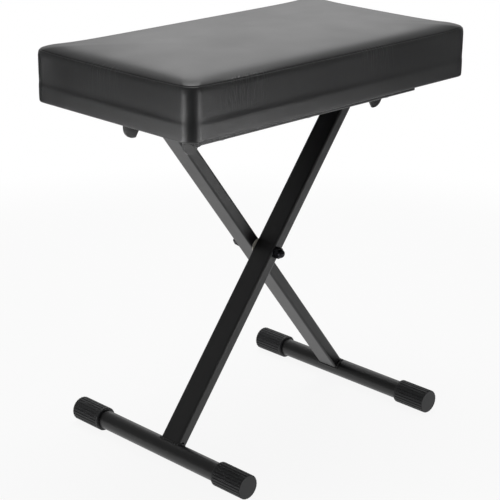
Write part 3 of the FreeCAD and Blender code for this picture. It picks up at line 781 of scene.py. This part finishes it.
def row_tree(name, of_bars):
    """A tree for a row of bars or of balls. Each is as long as Length along the line, and about Width across."""
    sizes = {"Spacing": "NodeSocketFloat", "Length": "NodeSocketFloat", "Width": "NodeSocketFloat",
             "Unevenness": "NodeSocketFloat", "Seed": "NodeSocketInt"}
    tree, given = geometry_tree(name, sizes)
    curve = add(tree, "GeometryNodeMeshToCurve", {"Mesh": given["Line"]})
    points = add(tree, "GeometryNodeCurveToPoints", {"Curve": curve.outputs["Curve"], "Length": given["Spacing"]},
                 mode="LENGTH")
    if of_bars:
        thing = add(tree, "GeometryNodeMeshCube", {"Size": (1.0, 1.0, 1.0)})
    else:
        thing = add(tree, "GeometryNodeMeshUVSphere", {"Segments": 12, "Rings": 8, "Radius": 0.5})
    least = math_node(tree, "SUBTRACT", 1.0, given["Unevenness"])
    most = math_node(tree, "ADD", 1.0, given["Unevenness"])
    chance = add(tree, "FunctionNodeRandomValue", {FLOAT_MIN: least, FLOAT_MAX: most, "Seed": given["Seed"]},
                 data_type="FLOAT")
    wide = math_node(tree, "MULTIPLY", given["Width"], chance.outputs[FLOAT_VALUE])
    size = add(tree, "ShaderNodeCombineXYZ", {"X": wide, "Y": wide, "Z": given["Length"]})
    row = add(tree, "GeometryNodeInstanceOnPoints", {"Points": points.outputs["Points"],
                                                     "Instance": thing.outputs["Mesh"],
                                                     "Rotation": points.outputs["Rotation"],
                                                     "Scale": size.outputs["Vector"]})
    close_tree(tree, given, row.outputs["Instances"])
    return tree


# %% The lines that the welds follow
LEAN = math.radians(52.5)
FOOT_RADIUS = mm(12.5)
LEG_HALF = mm(8)
SADDLE_STEPS = 6
BESIDE_BAR = mm(3)
LIFT = mm(0.4)
SHORT_OF_EDGE = mm(2)


def middle_line(node):
    """Where a bar's middle line crosses y = 0."""
    low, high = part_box(node)
    return Vector(((low.x + high.x) / 2, 0, (low.z + high.z) / 2))


def saddle_line(foot, along, square, near_y, far_y):
    """The closed line where the leg's four faces meet the round foot bar."""
    centre = middle_line(foot)
    steps = range(-SADDLE_STEPS, SADDLE_STEPS + 1)
    line = []
    for y, order in ((near_y, steps), (far_y, reversed(steps))):
        for i in order:
            off = LEG_HALF * i / SADDLE_STEPS
            point = centre + square * off + along * math.sqrt(FOOT_RADIUS ** 2 - off ** 2)
            line.append(tuple(point + Vector((0, y, 0))))
    return line + line[:1]


def crossbar_lines(bar, along, square, near_y, far_y):
    """Two short lines, one on each side of where the crossbar touches the leg."""
    low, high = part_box(bar)
    touch = middle_line(bar) - square * ((high.z - low.z) / 2)
    lines = []
    for way in (-1, 1):
        start = touch + along * (way * BESIDE_BAR) + square * LIFT
        lines.append([tuple(start + Vector((0, y, 0))) for y in (near_y + SHORT_OF_EDGE, far_y - SHORT_OF_EDGE)])
    return lines


# %% Welds of the two leg frames
WELD_TREE = row_tree("weld_beads", False)
WELD_SIZES = {"Spacing": mm(1.5), "Length": mm(3.2), "Width": mm(3.0), "Unevenness": 0.16, "Seed": 7,
              "Finish": POWDER_COAT}


def leg_welds(body, leg, foot, bar, side):
    """The welds of one leg. Side is +1 where the leg leans to +X, and -1 where it leans to -X."""
    low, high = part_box(leg)
    along = Vector((side * math.cos(LEAN), 0, math.sin(LEAN)))
    square = Vector((side * math.sin(LEAN), 0, -math.cos(LEAN)))
    lines = [saddle_line(foot, along, square, low.y, high.y), *crossbar_lines(bar, along, square, low.y, high.y)]
    welds = grown(body + "_welds", WELD_TREE, lines_mesh("weld_lines", lines), WELD_SIZES)
    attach(welds, body)
    return welds


WELDS = [leg_welds("front_leg_frame", "front_leg_tube", "left_foot_bar", "right_crossbar", 1),
         leg_welds("rear_leg_frame", "rear_leg_tube", "right_foot_bar", "left_crossbar", -1)]
print("weld faces", [len(weld.data.polygons) for weld in WELDS])

# %% Staples under the seat
STAPLE_TREE = row_tree("staples", True)
STAPLE_SIZES = {"Spacing": mm(26), "Length": mm(9.5), "Width": mm(0.7), "Unevenness": 0.05, "Seed": 3,
                "Finish": ZINC}
STAPLE_INSET = mm(5)
STAPLE_PROUD = mm(0.2)


def seat_staples():
    """Staples through the dust cover's edge and the hem behind it."""
    low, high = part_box("dust_cover")
    x, y, z = high.x - STAPLE_INSET, high.y - STAPLE_INSET, low.z - STAPLE_PROUD
    sides = [[(-x, -y, z), (x, -y, z)], [(x, -y, z), (x, y, z)], [(x, y, z), (-x, y, z)], [(-x, y, z), (-x, -y, z)]]
    staples = grown("staples", STAPLE_TREE, lines_mesh("hem_line", sides), STAPLE_SIZES)
    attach(staples, "seat")
    return staples


STAPLES = seat_staples()
print("staple faces", len(STAPLES.data.polygons))

# %% [markdown]
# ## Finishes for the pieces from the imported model
# Every other node keeps its shape and gets the finish that its material slot names. The foam is closed in by the
# cushion and never seen, so it shares the nylon's pale finish.

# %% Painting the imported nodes
FINISHES = {
    "black_faux_leather": LEATHER,
    "cushion_foam": NYLON,
    "plywood": PLYWOOD,
    "black_nonwoven": SPUN_CLOTH,
    "black_powder_coat": POWDER_COAT,
    "black_oxide_steel": BLACK_OXIDE,
    "zinc_plated_steel": ZINC,
    "black_rubber": RUBBER,
    "black_plastic": PLUG_PLASTIC,
    "nylon": NYLON,
}
for part in frame["record"]["subparts"]:
    node = frame["nodes"][part["node"]]
    node.data.materials.clear()
    node.data.materials.append(FINISHES[part["material_slot"]])

# %% [markdown]
# ## The studio
# The photograph was taken on a white paper sweep, so the pale floor is most of what the black surfaces reflect. The
# floor is a broad disc with two zones. Near the bench it is a white sheet, which the camera and reflections see as
# almost pure white; the small share of lit paper that is left in carries the bench's shadow. Beyond the sheet the
# camera sees pure white, and reflections see grey paper, as bright as the lamps light it.

# %% Floor
FLOOR_RADIUS = 6.0
SHEET_EDGE = (0.8, 1.25)
SHEET_IN_MIRROR = 0.95
SHADOW_SHARE = 0.09


def floor_paper():
    material, tree = new_material("white_paper")
    ray = add(tree, "ShaderNodeLightPath")
    place = add(tree, "ShaderNodeTexCoord").outputs["Object"]
    fibres = add(tree, "ShaderNodeTexNoise", {"Vector": place, "Scale": 3.0})
    away = add(tree, "ShaderNodeVectorMath", {0: place}, operation="LENGTH")
    sheet = between(tree, away.outputs["Value"], *SHEET_EDGE, 1.0, 0.0)
    ground = blend(tree, sheet, "#989898", blend(tree, fibres.outputs["Fac"], "#e6e6e6", "#eaeaea"))
    paper = add(tree, "ShaderNodeBsdfDiffuse", {"Color": ground})
    white = add(tree, "ShaderNodeEmission", {"Color": (1, 1, 1, 1), "Strength": 1.0})
    mirrored = math_node(tree, "MAXIMUM", ray.outputs["Is Glossy Ray"], ray.outputs["Is Transmission Ray"])
    in_mirror = math_node(tree, "MULTIPLY", mirrored, math_node(tree, "MULTIPLY", sheet, SHEET_IN_MIRROR))
    to_camera = math_node(tree, "SUBTRACT", 1.0, math_node(tree, "MULTIPLY", sheet, SHADOW_SHARE))
    share = add(tree, "ShaderNodeMath", {0: ray.outputs["Is Camera Ray"], 1: to_camera, 2: in_mirror},
                operation="MULTIPLY_ADD")
    both = add(tree, "ShaderNodeMixShader", {0: share.outputs["Value"], 1: paper.outputs["BSDF"],
                                             2: white.outputs["Emission"]})
    finish_material(tree, both.outputs["Shader"])
    return material


def make_floor():
    mesh = bpy.data.meshes.new("floor")
    disc = bmesh.new()
    bmesh.ops.create_circle(disc, cap_ends=True, radius=FLOOR_RADIUS, segments=96)
    disc.to_mesh(mesh)
    disc.free()
    floor = bpy.data.objects.new("floor", mesh)
    bpy.context.scene.collection.objects.link(floor)
    mesh.materials.append(floor_paper())
    return floor


FLOOR = make_floor()
print("floor", FLOOR_RADIUS, "m in radius")

# %% [markdown]
# ## Light
# Black leather shows its shape by what it mirrors. In the photograph both sides of the seat are light near the front
# corner and dark at their far ends, so the floor they mirror has a bright patch on the left and one on the right. Two
# lamps out of the picture make these patches. They point straight down with a narrow spread, so none of their light
# falls on the bench itself. A broad lamp overhead lights the whole bench, and a weak one behind it is mirrored in the
# seat's top. The world is white to the camera, and to reflections it is a pale backdrop behind the bench, dim near
# the floor and fading out at about 25 degrees up.

# %% Lamps
def soft_box(name, place, aim, size, power, spread=180):
    """A square lamp at a place, turned to a point. A small spread keeps its light off what is beside the beam."""
    lamp = bpy.data.lights.new(name, "AREA")
    lamp.shape = "SQUARE"
    lamp.size = size
    lamp.energy = power
    lamp.spread = math.radians(spread)
    holder = bpy.data.objects.new(name, lamp)
    bpy.context.scene.collection.objects.link(holder)
    holder.location = place
    holder.rotation_euler = (Vector(aim) - Vector(place)).to_track_quat("-Z", "Y").to_euler()
    return holder


def around(azimuth, distance, height):
    """A place at an azimuth in degrees, counted from +X towards +Y."""
    turn = math.radians(azimuth)
    return (distance * math.cos(turn), distance * math.sin(turn), height)


POOL_HEIGHT = 0.9
POOL_SIZE = 0.9
LAMPS = [
    soft_box("left_pool", around(166, 1.55, POOL_HEIGHT), around(166, 1.55, 0.0), POOL_SIZE, 85, spread=70),
    soft_box("right_pool", around(-71.5, 1.5, POOL_HEIGHT), around(-71.5, 1.5, 0.0), POOL_SIZE, 62, spread=55),
    soft_box("overhead", (0.4, 0.4, 2.4), (0.0, 0.0, 0.4), 1.4, 28),
    soft_box("back_box", (1.75, 1.7, 1.4), (0.0, 0.0, 0.5), 1.2, 3.8),
]
print("lamps", {lamp.name: round(lamp.data.energy, 1) for lamp in LAMPS})


# %% The world
BACKDROP_TOP = (0.38, 0.48)
BACKDROP_SIDE = (0.2, 0.7)
BACKDROP_FOOT = (0.06, 0.33)
FOOT_STRENGTH = 0.2
DARK_ROOM = 0.12
DIAGONAL = 0.7071


def light_the_world(tree):
    """Heights and sides are parts of a unit direction. A height of 0.38, for one, is 22 degrees up."""
    ray = add(tree, "ShaderNodeLightPath")
    direction = add(tree, "ShaderNodeTexCoord").outputs["Generated"]
    split = add(tree, "ShaderNodeSeparateXYZ", {"Vector": direction})
    seen = math_node(tree, "MAXIMUM", ray.outputs["Is Camera Ray"], ray.outputs["Is Transmission Ray"])
    height = add(tree, "ShaderNodeMapRange", {"Value": split.outputs["Z"], "From Min": BACKDROP_TOP[0],
                                              "From Max": BACKDROP_TOP[1], "To Min": 1.0, "To Max": 0.0})
    behind = math_node(tree, "MULTIPLY", math_node(tree, "ADD", split.outputs["X"], split.outputs["Y"]), DIAGONAL)
    side = add(tree, "ShaderNodeMapRange", {"Value": behind, "From Min": BACKDROP_SIDE[0],
                                            "From Max": BACKDROP_SIDE[1]})
    low_down = between(tree, split.outputs["Z"], *BACKDROP_FOOT, FOOT_STRENGTH, 1.0)
    backdrop = math_node(tree, "MULTIPLY", height.outputs["Result"], side.outputs["Result"])
    backdrop = math_node(tree, "MULTIPLY", backdrop, low_down)
    lit = math_node(tree, "MAXIMUM", backdrop, DARK_ROOM)
    glossy = math_node(tree, "MULTIPLY", ray.outputs["Is Glossy Ray"], lit)
    white = math_node(tree, "MAXIMUM", seen, glossy)
    room = add(tree, "ShaderNodeBackground", {"Color": hex_colour("#808080"), "Strength": 1.0})
    sweep = add(tree, "ShaderNodeBackground", {"Color": (1, 1, 1, 1), "Strength": 1.0})
    both = add(tree, "ShaderNodeMixShader", {0: white, 1: room.outputs["Background"], 2: sweep.outputs["Background"]})
    add(tree, "ShaderNodeOutputWorld", {"Surface": both.outputs["Shader"]})


WORLD = bpy.data.worlds.new("studio")
bpy.context.scene.world = WORLD
WORLD.use_nodes = True
WORLD.node_tree.nodes.clear()
light_the_world(WORLD.node_tree)
print("world nodes", len(WORLD.node_tree.nodes))

# %% [markdown]
# ## The camera
# The photograph was taken from the front left, a little above the seat, through a long lens. The camera stands where
# a fit to the edges of the bench put it.

# %% Camera
CAMERA_TARGET = mm(3.8, 0.0, 242.5)
CAMERA_DISTANCE = 2.0806
CAMERA_AZIMUTH = math.radians(-45.79)
CAMERA_ELEVATION = math.radians(19.58)
CAMERA_ROLL = math.radians(0.65)
FOCAL_PIXELS = 1571.5
PICTURE_PIXELS = 500
CENTRE_PIXEL = (258.57, 248.8)


def make_camera():
    a, e = CAMERA_AZIMUTH, CAMERA_ELEVATION
    back = Vector((math.sin(a) * math.cos(e), -math.cos(a) * math.cos(e), math.sin(e)))
    level = (-back).cross(Vector((0, 0, 1))).normalized()
    upright = level.cross(-back)
    right = level * math.cos(CAMERA_ROLL) + upright * math.sin(CAMERA_ROLL)
    up = upright * math.cos(CAMERA_ROLL) - level * math.sin(CAMERA_ROLL)
    camera = bpy.data.objects.new("camera", bpy.data.cameras.new("camera"))
    bpy.context.scene.collection.objects.link(camera)
    turn = Matrix((right, up, back)).transposed().to_4x4()
    camera.matrix_world = Matrix.Translation(CAMERA_TARGET + back * CAMERA_DISTANCE) @ turn
    camera.data.lens = camera.data.sensor_width * FOCAL_PIXELS / PICTURE_PIXELS
    camera.data.shift_x = 0.5 - CENTRE_PIXEL[0] / PICTURE_PIXELS
    camera.data.shift_y = CENTRE_PIXEL[1] / PICTURE_PIXELS - 0.5
    bpy.context.scene.camera = camera
    return camera


CAMERA = make_camera()
bpy.context.scene.view_settings.view_transform = "Standard"
print("camera at", [round(c, 3) for c in CAMERA.matrix_world.translation])
